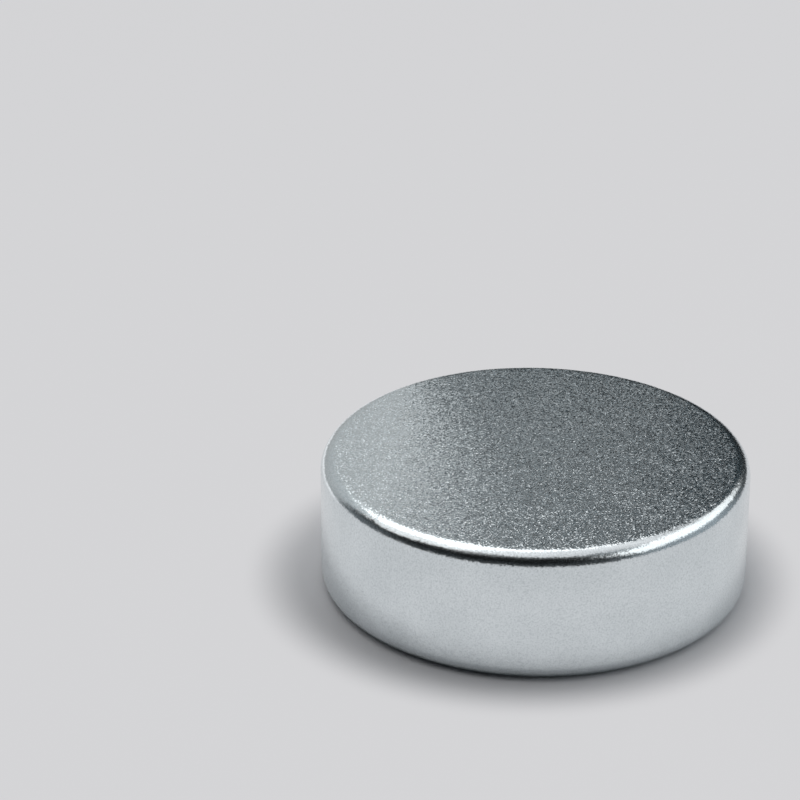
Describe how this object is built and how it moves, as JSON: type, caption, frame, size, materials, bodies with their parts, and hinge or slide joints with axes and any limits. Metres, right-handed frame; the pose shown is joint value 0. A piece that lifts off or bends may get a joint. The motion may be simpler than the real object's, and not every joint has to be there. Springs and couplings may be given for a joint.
{
  "type": "disc magnet",
  "caption": "Flat round permanent magnet with rounded edges and a satin nickel-plated finish, for holding papers, tools or small steel parts.",
  "frame": {"origin": "centre of the disc's lower face", "axes": "+Z along the disc's axis, out of its upper face; +X and +Y lie in the plane of the lower face, and the disc is the same all round"},
  "size_m": [0.025, 0.025, 0.008],
  "materials": {
    "nickel_plating": "satin bright nickel plating over a tumbled surface, with a fine orange-peel grain"
  },
  "bodies": {
    "root": {"disc_magnet": "nickel_plating"}
  },
  "joints": []
}
